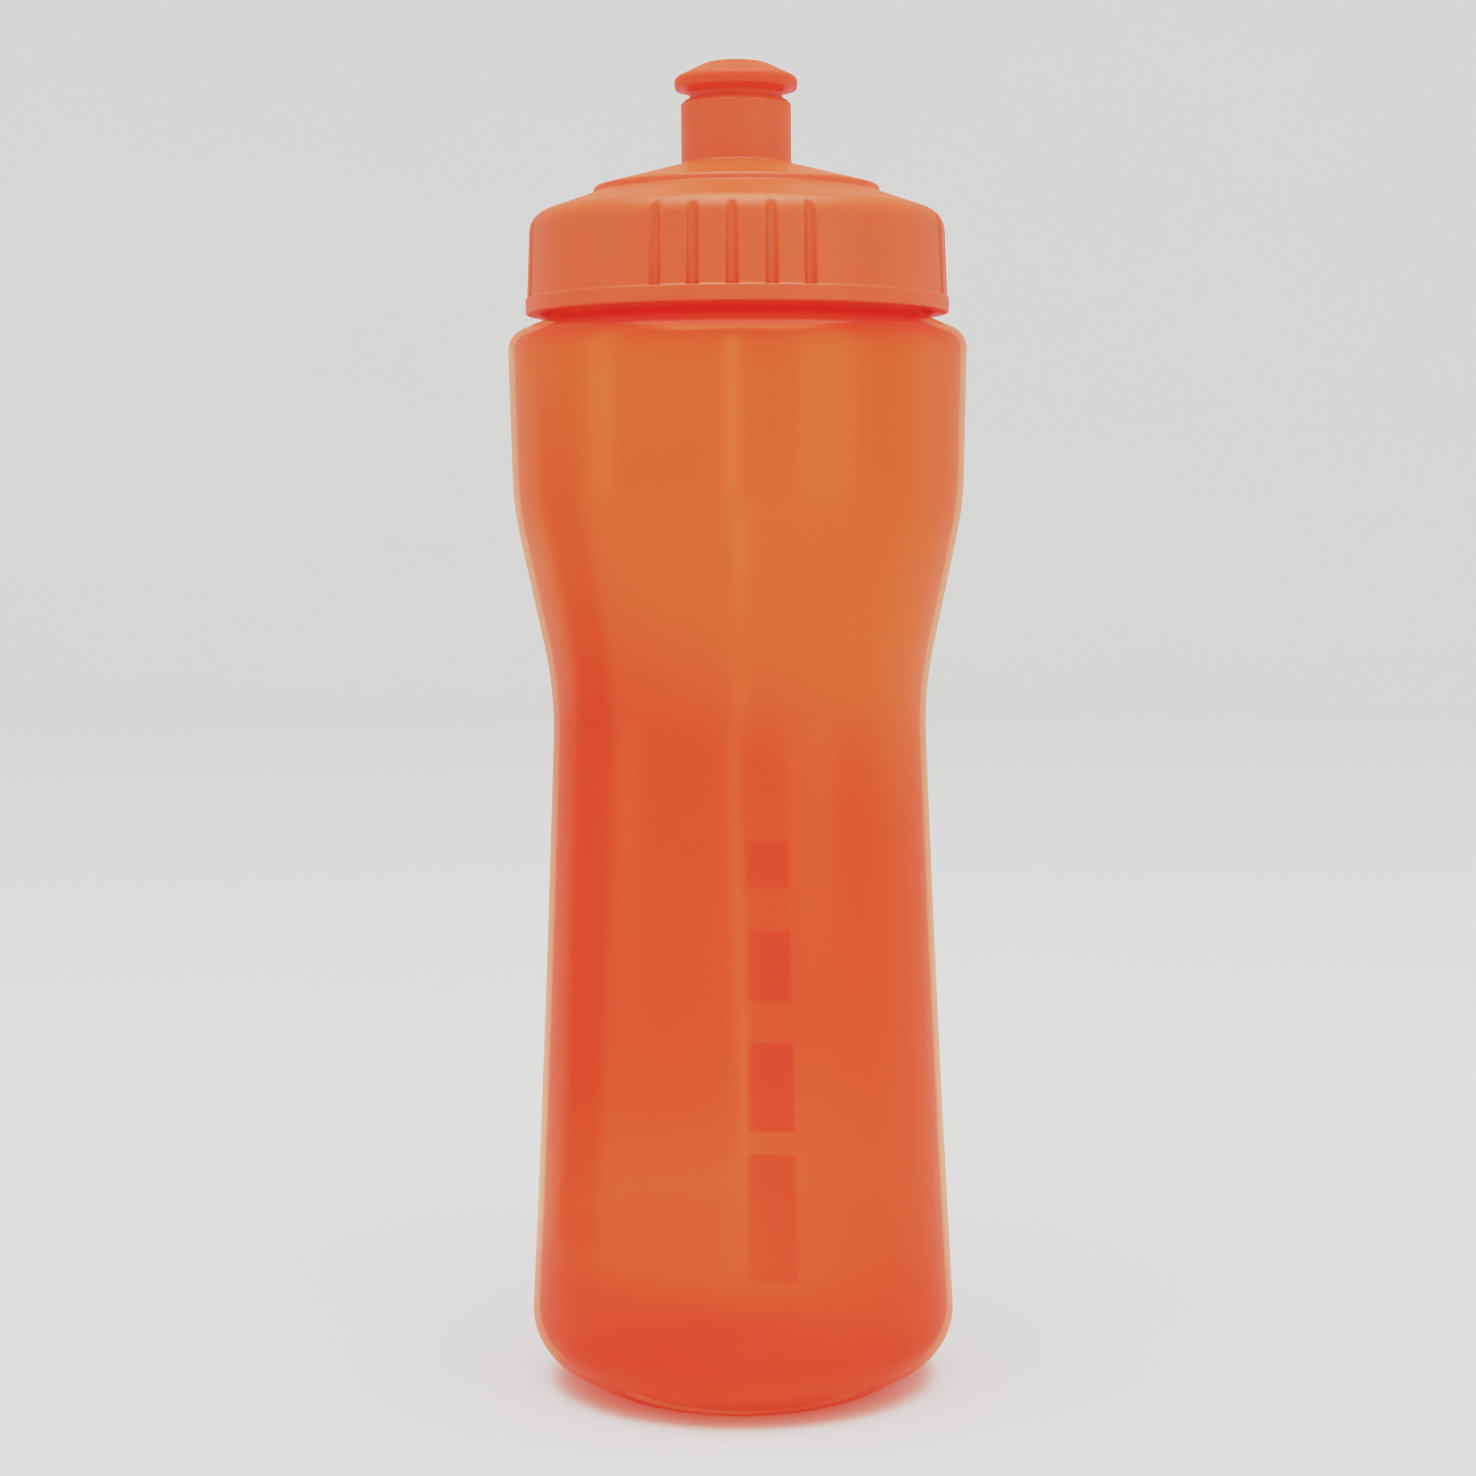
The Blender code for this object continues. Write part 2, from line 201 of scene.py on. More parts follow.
def straight(start, end, zones):
    """Points between two corners: one beside each, and more where the stretch is long.

    They lie closer in a zone of (low, high) heights, (inner, outer) radii and step.
    """
    length = (end - start).length
    if length < 4 * SUPPORT:
        return []
    step = LONGEST_STEP
    for low, high, inner, outer, zone_step in zones:
        beside = min(start.y, end.y) < high and max(start.y, end.y) > low
        if beside and inner < start.x < outer:
            step = zone_step
    reaches = np.linspace(SUPPORT, length - SUPPORT, max(2, math.ceil(length / step) + 1))
    return [start + (end - start) * reach / length for reach in reaches]


def outlined(corners, closed, zones=()):
    """Points of an outline of (radius, height, corner radius) corners."""
    last = len(corners) - 1
    arcs = []
    for number, corner in enumerate(corners):
        before = corners[number - 1]
        after = corners[(number + 1) % len(corners)]
        if not closed and number in (0, last):
            corner = (*corner[:2], 0)
        arcs.append(round_corner(before, corner, after))
    points = []
    for number, arc in enumerate(arcs):
        points += arc
        if closed or number < last:
            points += straight(arc[-1], arcs[(number + 1) % len(arcs)][0], zones)
    return points


def inset(corners, walls):
    """The inner corners of an open outline, whose stretches lie each by its own wall to the left of it."""
    lines = []
    for start, end, wall in zip(corners, corners[1:], walls):
        along = (Vector(end[:2]) - Vector(start[:2])).normalized()
        lines.append((Vector(start[:2]) + Vector((-along.y, along.x)) * wall, along))
    moved = []
    for (point, along), (next_point, next_along), corner in zip(lines, lines[1:], corners[1:]):
        across = Vector((-next_along.y, next_along.x))
        reach = (next_point - point).dot(across) / along.dot(across)
        bend = along.x * next_along.y - along.y * next_along.x
        moved.append((*(point + along * reach), max(0, corner[2] - math.copysign(BODY_WALL, bend))))
    return moved


# ---------------------------------------------------------------- turned meshes

def soft_most(one, other):
    """The larger of two values, with a soft corner where they cross."""
    return (one + other + np.sqrt((one - other) ** 2 + SOFT ** 2)) / 2


def turned(name, points, angles, closed, base, shape=None):
    """A mesh turned about Z. Its outline is in mm above base, and shape may move its radii."""
    radius = np.array([point.x for point in points])[:, None] + 0 * angles[None, :]
    height = np.array([point.y for point in points])[:, None] + 0 * angles[None, :]
    turn = angles[None, :] + 0 * radius
    if shape:
        radius = shape(radius, height, turn)
    where = np.stack([radius * np.cos(turn), radius * np.sin(turn), height + base], -1) * MM
    rows, columns = radius.shape
    index = np.arange(rows * columns).reshape(rows, columns)
    on_axis = [row for row in (0, rows - 1) if not closed and points[row].x < HAIR]
    for row in on_axis:
        index[row, :] = index[row, 0]
    following = np.roll(index, -1, axis=1)
    pairs = [(row, (row + 1) % rows) for row in range(rows if closed else rows - 1)]
    faces = []
    for low, high in pairs:
        for column in range(columns):
            corners = (index[low, column], following[low, column],
                       following[high, column], index[high, column])
            faces.append(list(dict.fromkeys(int(corner) for corner in corners)))
    used = sorted({corner for face in faces for corner in face})
    new_number = {old: new for new, old in enumerate(used)}
    data = bpy.data.meshes.new(name)
    data.from_pydata(where.reshape(-1, 3)[used].tolist(), [],
                     [[new_number[corner] for corner in face] for face in faces])
    return finished(name, data)


def finished(name, data):
    """An object made from a mesh, with its faces pointing out and shaded smooth."""
    mesh = bmesh.new()
    mesh.from_mesh(data)
    bmesh.ops.recalc_face_normals(mesh, faces=mesh.faces)
    mesh.to_mesh(data)
    mesh.free()
    data.shade_smooth()
    obj = bpy.data.objects.new(name, data)
    bpy.context.scene.collection.objects.link(obj)
    return obj


def joined(target, *others):
    """Adds the other objects' meshes to the target's mesh as separate islands of one moulding."""
    mesh = bmesh.new()
    mesh.from_mesh(target.data)
    for other in others:
        other.data.transform(other.matrix_world)
        mesh.from_mesh(other.data)
        bpy.data.objects.remove(other)
    mesh.to_mesh(target.data)
    mesh.free()
    target.data.shade_smooth()


def even_angles(count):
    return np.arange(count) * math.tau / count


def thread_height(turn, height, start_height, start_angle, turns):
    """Share of full thread height at each point of a wall."""
    best = np.zeros_like(height)
    for lap in range(math.ceil(turns) + 1):
        along = np.mod(turn - start_angle, math.tau) + lap * math.tau
        whole = math.tau * turns
        growth = np.clip(THREAD_START + np.minimum(along, whole - along) / THREAD_FADE, 0, 1)
        growth = np.where(along > whole, 0, growth)
        away = np.abs(height - start_height - LEAD * along / math.tau)
        rise = np.clip((ROOT_HALF_WIDTH - away) / (ROOT_HALF_WIDTH - CREST_HALF_WIDTH), 0, 1)
        best = np.maximum(best, growth * rise)
    return best


# ---------------------------------------------------------------- body

def body_outside():
    """The outside of the body from the middle of its base up to the rim."""
    return [
        (0, PUSH_UP, 0),
        (14.0, PUSH_UP, 8.0),
        (20.0, 0, 0.8),
        (23.45, 0, 5.75),
        (34.8, 6.55, 9.5),
        (32.0, 60.0, 5000.0),
        (29.9, 113.0, 61.0),
        (36.2, 142.8, 52.0),
        (36.8, 170.0, 3.6),
        (NECK_RADIUS, NECK_ROOT_HEIGHT, 1.2),
        (NECK_RADIUS, RIM_HEIGHT, 0.35),
    ]


def body_inside():
    outside = body_outside()
    walls = [BASE_WALL] * BASE_STRETCHES + [BODY_WALL] * (len(outside) - BASE_STRETCHES - 2) + [NECK_WALL]
    inside = inset(outside, walls)
    inside = [(radius, height, max(corner, EDGE)) for radius, height, corner in inside]
    inside.insert(0, (0, PUSH_UP + BASE_WALL, 0))
    inside.append((NECK_RADIUS - NECK_WALL, RIM_HEIGHT, 0.35))
    return inside


def make_body():
    low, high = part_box("bottle_body")
    corners = body_outside() + body_inside()[::-1]
    wall_middle = NECK_RADIUS - NECK_WALL / 2
    zones = ((NECK_ROOT_HEIGHT + 1, RIM_HEIGHT, wall_middle, BOTTLE_CREST_RADIUS, THREAD_STEP),)
    points = outlined(corners, False, zones)
    widest = max(point.x for point in points)
    fit = (high.x / MM - HAIR) / widest

    def shape(radius, height, turn):
        share = thread_height(turn, height, BOTTLE_THREAD_HEIGHT, math.pi / CAD_SIDES,
                              BOTTLE_THREAD_TURNS)
        ridge = wall_middle + (BOTTLE_CREST_RADIUS - wall_middle) * share
        outer = (radius > wall_middle) & (height > NECK_ROOT_HEIGHT + 0.5)
        return np.where(outer, soft_most(radius, ridge), radius * fit)

    shell = turned("bottle_shell", points, even_angles(BODY_COLUMNS), False, low.z / MM, shape)
    joined(shell, make_pinch_seam(low.z / MM))
    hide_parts("bottle_body")
    return shell


def make_pinch_seam(base):
    """The weld that blow moulding leaves across the pushed-up base."""
    rises = np.linspace(-math.pi / 2, math.pi / 2, SEAM_COLUMNS // 2 + 1)
    ball = [Vector((math.cos(rise), math.sin(rise))) for rise in rises]
    seam = turned("pinch_seam", ball, even_angles(SEAM_COLUMNS), False, 0)
    for vert in seam.data.vertices:
        along, aside, up = vert.co / MM
        along = math.copysign(abs(along) ** 0.5, along) * SEAM_LENGTH / 2
        vert.co = Vector((along, aside * SEAM_WIDTH / 2, up * SEAM_DEPTH + PUSH_UP + base)) * MM
    return seam


# ---------------------------------------------------------------- level bars

BAR_SPANS = ((6.4, 29.0), (33.1, 49.1), (56.4, 68.9), (76.7, 84.6))   # mm above the foot, on the back wall
BAR_LEFT = 1.0             # mm to the right of the middle, as seen from the front
BAR_RIGHT_LOW = 9.7        # the bars widen a little downwards
BAR_RIGHT_HIGH = 8.3
BAR_LIFT = 0.02            # mm of clearance between ink and wall
BAR_INK = 0.05             # mm of ink
BAR_STEPS = 24


def wall_radius(outline, height):
    """Outside radius of the body's wall at this height."""
    heights = [point.y for point in outline]
    return float(np.interp(height, heights, [point.x for point in outline]))


def make_bars():
    """Four printed level marks on the outside of the back wall."""
    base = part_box("bottle_body")[0].z / MM
    outline = outlined(body_outside()[3:8], False)
    bars = []
    for number, (low, high) in enumerate(BAR_SPANS, 1):
        rows = []
        for height in np.linspace(low, high, BAR_STEPS + 1):
            radius = wall_radius(outline, height) + BAR_LIFT
            share = (height - BAR_SPANS[0][0]) / (BAR_SPANS[-1][1] - BAR_SPANS[0][0])
            right = BAR_RIGHT_LOW + share * (BAR_RIGHT_HIGH - BAR_RIGHT_LOW)
            turns = np.linspace(math.asin(BAR_LEFT / radius), math.asin(right / radius), BAR_STEPS // 2 + 1)
            rows.append([(math.sin(turn), math.cos(turn), radius, height + base) for turn in turns])
        mesh = bmesh.new()
        layers = []
        for lift in (0, BAR_INK):
            places = [[Vector((across * (radius + lift), along * (radius + lift), up)) * MM
                       for across, along, radius, up in row] for row in rows]
            layers.append([[mesh.verts.new(place) for place in row] for row in places])
        inner, outer = layers
        for layer in layers:
            for row, next_row in zip(layer, layer[1:]):
                for column in range(len(row) - 1):
                    mesh.faces.new((row[column], row[column + 1], next_row[column + 1], next_row[column]))
        border = ([(0, column) for column in range(len(inner[0]))]
                  + [(row, len(inner[0]) - 1) for row in range(1, len(inner))]
                  + [(len(inner) - 1, column) for column in reversed(range(len(inner[0]) - 1))]
                  + [(row, 0) for row in reversed(range(1, len(inner) - 1))])
        for (row, column), (next_row, next_column) in zip(border, border[1:] + border[:1]):
            mesh.faces.new((inner[row][column], inner[next_row][next_column],
                            outer[next_row][next_column], outer[row][column]))
        data = bpy.data.meshes.new(f"level_bar_{number}")
        mesh.to_mesh(data)
        mesh.free()
        bars.append(finished(f"level_bar_{number}", data))
    return bars


# ---------------------------------------------------------------- lid

def roof_height(radius):
    """Height of the lid's outer slope between the skirt and the step."""
    share = (SKIRT_TOP_RADIUS - radius) / (SKIRT_TOP_RADIUS - STEP_RADIUS)
    return SKIRT_TOP + share * (STEP - SKIRT_TOP)


def cap_outside():
    share = (GROOVE_LEDGE - FLANGE_HEIGHT) / FLANGE_SLOPE
    ledge_radius = FLANGE_RADIUS - FLANGE_STEP * share
    return [
        (SKIRT_BORE, 0, 0.3),
        (FLANGE_RADIUS, 0, 0.35),
        (FLANGE_RADIUS, FLANGE_HEIGHT, 0.15),
        (ledge_radius, GROOVE_LEDGE, 0),
        (FLANGE_RADIUS - FLANGE_STEP, FLANGE_HEIGHT + FLANGE_SLOPE, 0.3),
        (SKIRT_TOP_RADIUS, SKIRT_TOP, SKIRT_ROUND),
        (STEP_RADIUS, STEP, 0.35),
        (STEP_RADIUS - STEP_DRAFT, STEP + STEP_RISE, 0.6),
        (COLLAR_RADIUS, COLLAR_FOOT, 0.45),
        (COLLAR_RADIUS, COLLAR_TOP - COLLAR_CHAMFER, 0.15),
        (COLLAR_RADIUS - COLLAR_CHAMFER, COLLAR_TOP, 0.12),
    ]


def cap_inside():
    keeper_inner = KEEPER_RADIUS - KEEPER_WALL
    inner_step = STEP_RADIUS - ROOF_WALL
    floor_under = COLLAR_FLOOR - ROOF_WALL
    bead_top = TUBE_BEAD + BEAD_WIDTH
    return [
        (COLLAR_BORE, COLLAR_TOP, 0.12),
        (COLLAR_BORE, COLLAR_FLOOR, 0.3),
        (TUBE_RADIUS, COLLAR_FLOOR, 0.3),
        (TUBE_RADIUS, TUBE_BEAD, 0.1),
        (TUBE_BEAD_RADIUS, TUBE_BEAD, 0.15),
        (TUBE_BEAD_RADIUS, TUBE_BEAD + BEAD_WIDTH / 2, 0.2),
        (TUBE_RADIUS, bead_top, 0.2),
        (TUBE_RADIUS, TUBE_TOP, 0.3),
        (TUBE_BORE, TUBE_TOP, 0.3),
        (TUBE_BORE, floor_under, 0.4),
        (COLLAR_RADIUS, floor_under, 0.4),
        (inner_step, STEP + STEP_RISE - ROOF_WALL, 0.2),
        (inner_step, roof_height(inner_step) - ROOF_WALL, 0.2),
        (keeper_inner, roof_height(keeper_inner) - ROOF_WALL, 0.4),
        (keeper_inner, KEEPER_END, 0.3),
        (KEEPER_RADIUS, KEEPER_END, 0.3),
        (KEEPER_RADIUS, SEAT, 0.3),
        (SKIRT_BORE, SEAT, 0.4),
    ]


def groove_directions():
    directions = []
    for group, grooves in enumerate(GROOVES_IN_GROUPS):
        middle = GRIP_TURN + math.tau * group / len(GROOVES_IN_GROUPS)
        directions += [middle + (groove - (grooves - 1) / 2) * GROOVE_PITCH for groove in range(grooves)]
    return directions


def cap_angles():
    """Directions of the lid's columns: close together across each groove, and even elsewhere."""
    fine = np.linspace(-1, 1, GROOVE_COLUMNS) * GROOVE_SPREAD
    angles = [direction + offset for direction in groove_directions() for offset in fine]
    for direction in even_angles(LID_COLUMNS):
        nearest = min(abs(math.remainder(direction - groove, math.tau)) for groove in groove_directions())
        if nearest > GROOVE_SPREAD * 1.1:
            angles.append(direction)
    return np.array(sorted(angle % math.tau for angle in angles))


def make_cap():
    low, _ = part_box("screw_cap")
    base = low.z / MM
    start = BOTTLE_THREAD_HEIGHT - CAP_THREAD_DROP + LEAD / 4 - CAP_BASE_HEIGHT
    directions = groove_directions()

    def cut(radius, height, turn):
        """Grip grooves in the outer side and the thread in the bore."""
        result = radius.copy()
        grooved = (height > GROOVE_LEDGE + SUPPORT / 4) & (height < GROOVE_TOP) & (radius > SKIRT_BORE + 0.4)
        for direction in directions:
            offset = np.remainder(turn - direction + math.pi, math.tau) - math.pi
            near = grooved & (np.abs(offset) < GROOVE_SPREAD)
            aside = GROOVE_FLOOR_RADIUS * np.sin(offset) / GROOVE_HALF_WIDTH
            rod = GROOVE_FLOOR_RADIUS + GROOVE_REACH - GROOVE_REACH * np.sqrt(np.clip(1 - aside ** 2, 0, 1))
            softened = -soft_most(-radius, -rod)
            fading = np.clip((1 - np.abs(aside)) / GROOVE_FADE, 0, 1)
            result = np.where(near & (np.abs(aside) < 1), radius + (softened - radius) * fading, result)
        bore = (np.abs(radius - SKIRT_BORE) < 0.02) & (height < SEAT)
        share = thread_height(turn, height, start, CAP_THREAD_FROM + math.pi / CAD_SIDES, CAP_THREAD_TURNS)
        ridge = CAP_THREAD_ROOT + (CAP_CREST_RADIUS - CAP_THREAD_ROOT) * share
        return np.where(bore, -soft_most(-radius, -ridge), result)

    corners = cap_outside() + cap_inside()
    zones = ((0, SEAT - 0.5, SKIRT_BORE - 0.1, SKIRT_BORE + 0.1, THREAD_STEP),)
    points = outlined(corners, True, zones)
    lid = turned("screw_lid", points, cap_angles(), True, base, cut)
    joined(lid, make_plug_pin(base), *make_plug_ribs(base))
    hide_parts("screw_cap")
    return lid


def make_plug_pin(base):
    outline = [(0, PIN_LOW, 0), (PIN_RADIUS, PIN_LOW, 0.8), (PIN_RADIUS, PIN_TOP, 0.8), (0, PIN_TOP, 0)]
    points = outlined(outline, False)
    return turned("plug_pin", points, even_angles(PIN_COLUMNS), False, base)


def make_plug_ribs(base):
    """Ribs that carry the pin in the middle of the tube."""
    inner = PIN_RADIUS - RIB_WIDTH / 2
    outer = (TUBE_BORE + TUBE_RADIUS) / 2
    ribs = []
    for rib in range(RIB_COUNT):
        mesh = bmesh.new()
        bmesh.ops.create_cube(mesh, size=1)
        size = Matrix.Diagonal((outer - inner, RIB_WIDTH, RIB_TOP - RIB_LOW, 1))
        middle = Matrix.Translation(((inner + outer) / 2, 0, (RIB_LOW + RIB_TOP) / 2 + base))
        turn = Matrix.Rotation(math.tau * (rib + 0.5) / RIB_COUNT, 4, "Z")
        mesh.transform(Matrix.Scale(MM, 4) @ turn @ middle @ size)
        bmesh.ops.bevel(mesh, geom=mesh.edges[:], offset=0.2 * MM, segments=4, affect="EDGES", profile=0.5)
        data = bpy.data.meshes.new("plug_rib")
        mesh.to_mesh(data)
        mesh.free()
        ribs.append(finished("plug_rib", data))
    return ribs


# ---------------------------------------------------------------- spout and seal

def make_spout():
    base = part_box("pull_spout")[0].z / MM
    ceiling = SPOUT_TOP - SPOUT_ROOF
    corners = [
        (STEM_BEAD_BORE, 0, 0.25),
        (STEM_RADIUS, 0, 0.3),
        (STEM_RADIUS, LIP_UNDER, 0.35),
        (LIP_EDGE_RADIUS, LIP_EDGE, 0.25),
        (LIP_SIDE_RADIUS, LIP_SIDE, 1.1),
        (LIP_CROWN_RADIUS, SPOUT_TOP - HAIR, 5.2),
        (DRINK_HOLE_RADIUS, SPOUT_TOP - HAIR, 0.45),
        (DRINK_HOLE_RADIUS, ceiling, 0.2),
        (STEM_BORE, ceiling, 0.5),
        (STEM_BORE, BEAD_WIDTH, 0.2),
        (STEM_BEAD_BORE, BEAD_WIDTH - SNAP_SLOPE, 0.2),
    ]
    points = outlined(corners, True)
    spout = turned("drink_spout", points, even_angles(SPOUT_COLUMNS), True, base)
    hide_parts("pull_spout")
    return spout


def make_seal():
    low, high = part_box("lid_seal")
    outer = high.x / MM - HAIR
    seal_thickness_and_body_darkening = (high.z - low.z) / MM
    section = ((SEAL_INNER, 0), (outer, 0), (outer, seal_thickness_and_body_darkening), (SEAL_INNER, seal_thickness_and_body_darkening))
    points = outlined([(*corner, SEAL_EDGE) for corner in section], True)
    seal = turned("sealing_ring", points, even_angles(SPOUT_COLUMNS), True, low.z / MM)
    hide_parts("lid_seal")
    return seal


# ---------------------------------------------------------------- materials

BODY_DEEP = (0.96, 0.066, 0.020)       # the wall's deeper red
BODY_PAINTED_LIGHT = (0.96, 0.133, 0.032)       # paler, yellower painted light above the waist, in a band above the base and at the foot
BODY_DARK_BASE_AND_SHOULDER_SHADE = (0.96, 0.050, 0.018)       # darker still towards the base, and painted shade at the shoulder
BODY_NECK_PAINTED_GLOW = (0.96, 0.20, 0.07)         # painted glow of the neck
BODY_SHEEN = (1.0, 0.85, 0.15)         # gloss seen straight on
BODY_SHEEN_EDGE = (1.0, 0.76, 0.77)    # gloss seen along the surface
BODY_TINT_DEEP = (1.0, 0.66, 0.40)     # light that comes straight through
# see-through colour where the wall has painted light
BODY_TINT_PAINTED_LIGHT = (1.0, 0.78, 0.54)
BODY_TINT_NECK = (1.0, 0.80, 0.58)
BODY_CLEAR = 0.55                      # share of the light that goes straight through a surface
BODY_MILKY = 0.4                       # share of the rest that goes through scattered
GLOSS_FACING = 0.021                   # share of gloss seen straight on, and along the surface
GLOSS_EDGE = 0.135
MOULDED_MILKY = 0.25
INK_MILKY = 0.4

# Where the body's painted light and shade change, as pairs of places in metres between which a share grows
# from 0 to 1
WAIST_ZONE = (0.094, 0.128)            # painted light above the waist
WAIST_TILT = 0.35                      # lower on the right than on the left
UNDER_SHOULDER = (0.171, 0.166)
SHOULDER_ZONE = (0.165, 0.168)         # painted shade at the shoulder
BASE_ZONE = (0.085, 0.035)             # darker towards the base
BAND_TOP = (0.060, 0.030)              # a band of painted light above the base
BAND_LOW = (0.018, 0.027)
BAND_LEFT = (0.020, -0.004)            # stronger on the left
BAND_BACK = (-0.01, 0.01)              # and at the back
BAND_SHARE = 0.8
PATCHES = 0.25                         # random unevenness of the painted light
# painted light at the very foot
FOOT_ZONE = (0.012, 0.002)
# painted glow of the neck
NECK_ZONE = (0.1725, 0.1735)
GLOSS_RISE = (0.03, 0.15)              # less gloss at the base than under the shoulder
MATT_SHOULDER = (0.168, 0.170)
LID_COLOUR = (0.87, 0.090, 0.0105)
SPOUT_COLOUR = (0.86, 0.077, 0.012)
SEAL_COLOUR = (0.62, 0.60, 0.56)
INK_COLOUR = (0.82, 0.034, 0.15)


class Nodes:
    """Short calls that add and link the nodes of one material."""

    def __init__(self, name):
        self.material = bpy.data.materials.new(name)
        self.material.use_nodes = True
        self.tree = self.material.node_tree
        self.tree.nodes.clear()
        self.output = self.add("ShaderNodeOutputMaterial")
        self.place = self.add("ShaderNodeTexCoord").outputs["Object"]

    def add(self, kind, **settings):
        node = self.tree.nodes.new(kind)
        for name, value in settings.items():
            setattr(node, name, value)
        return node

    def link(self, source, target):
        self.tree.links.new(source, target)

    def put(self, socket, value):
        if isinstance(value, bpy.types.NodeSocket):
            self.link(value, socket)
        else:
            socket.default_value = value

    def stretched(self, scale):
        """Object coordinates times a scale for each axis."""
        node = self.add("ShaderNodeMapping")
        self.put(node.inputs["Vector"], self.place)
        node.inputs["Scale"].default_value = scale
        return node.outputs["Vector"]

    def noise(self, scale, detail=2.0, roughness=0.5, stretch=(1, 1, 1)):
        node = self.add("ShaderNodeTexNoise")
        self.put(node.inputs["Vector"], self.stretched(stretch))
        node.inputs["Scale"].default_value = scale
        node.inputs["Detail"].default_value = detail
        node.inputs["Roughness"].default_value = roughness
        return node.outputs["Fac"]

    def between(self, value, low, high, to_low=0.0, to_high=1.0, smooth=False):
        node = self.add("ShaderNodeMapRange")
        if smooth:
            node.interpolation_type = "SMOOTHSTEP"
        self.put(node.inputs["Value"], value)
        node.inputs["From Min"].default_value = low
        node.inputs["From Max"].default_value = high
        node.inputs["To Min"].default_value = to_low
        node.inputs["To Max"].default_value = to_high
        return node.outputs["Result"]

    def math(self, operation, one, other=0.0):
        node = self.add("ShaderNodeMath", operation=operation)
        self.put(node.inputs[0], one)
        self.put(node.inputs[1], other)
        return node.outputs["Value"]

    def blend(self, share, one, other):
        node = self.add("ShaderNodeMix", data_type="RGBA")
        self.put(node.inputs["Factor"], share)
        self.put(node.inputs["A"], (*one, 1.0) if isinstance(one, tuple) else one)
        self.put(node.inputs["B"], (*other, 1.0) if isinstance(other, tuple) else other)
        return node.outputs["Result"]

    def along(self, axis):
        node = self.add("ShaderNodeSeparateXYZ")
        self.put(node.inputs[0], self.place)
        return node.outputs[axis]

    def bumped(self, height, strength, distance, normal=None):
        node = self.add("ShaderNodeBump")
        node.inputs["Strength"].default_value = strength
        node.inputs["Distance"].default_value = distance
        self.put(node.inputs["Height"], height)
        if normal is not None:
            self.put(node.inputs["Normal"], normal)
        return node.outputs["Normal"]

    def principled(self, colour, roughness, normal=None, specular=0.5, subsurface=0.0, radius=0.002):
        node = self.add("ShaderNodeBsdfPrincipled")
        self.put(node.inputs["Base Color"], (*colour, 1.0) if isinstance(colour, tuple) else colour)
        self.put(node.inputs["Roughness"], roughness)
        node.inputs["Specular IOR Level"].default_value = specular
        node.inputs["IOR"].default_value = 1.5
        node.inputs["Subsurface Weight"].default_value = subsurface
        node.inputs["Subsurface Radius"].default_value = (1.0, 0.25, 0.1)
        node.inputs["Subsurface Scale"].default_value = radius
        if normal is not None:
            self.put(node.inputs["Normal"], normal)
        return node.outputs["BSDF"]

    def mixed(self, share, one, other):
        node = self.add("ShaderNodeMixShader")
        self.put(node.inputs["Fac"], share)
        self.link(one, node.inputs[1])
        self.link(other, node.inputs[2])
        return node.outputs["Shader"]

    def milky(self, share, surface, colour, normal=None):
        """A surface mixed with a share of scattered light that comes through it."""
        glow = self.add("ShaderNodeBsdfTranslucent")
        self.put(glow.inputs["Color"], colour)
        if normal is not None:
            self.put(glow.inputs["Normal"], normal)
        return self.mixed(share, surface, glow.outputs["BSDF"])

    def finished(self, shader):
        self.link(shader, self.output.inputs["Surface"])
        return self.material


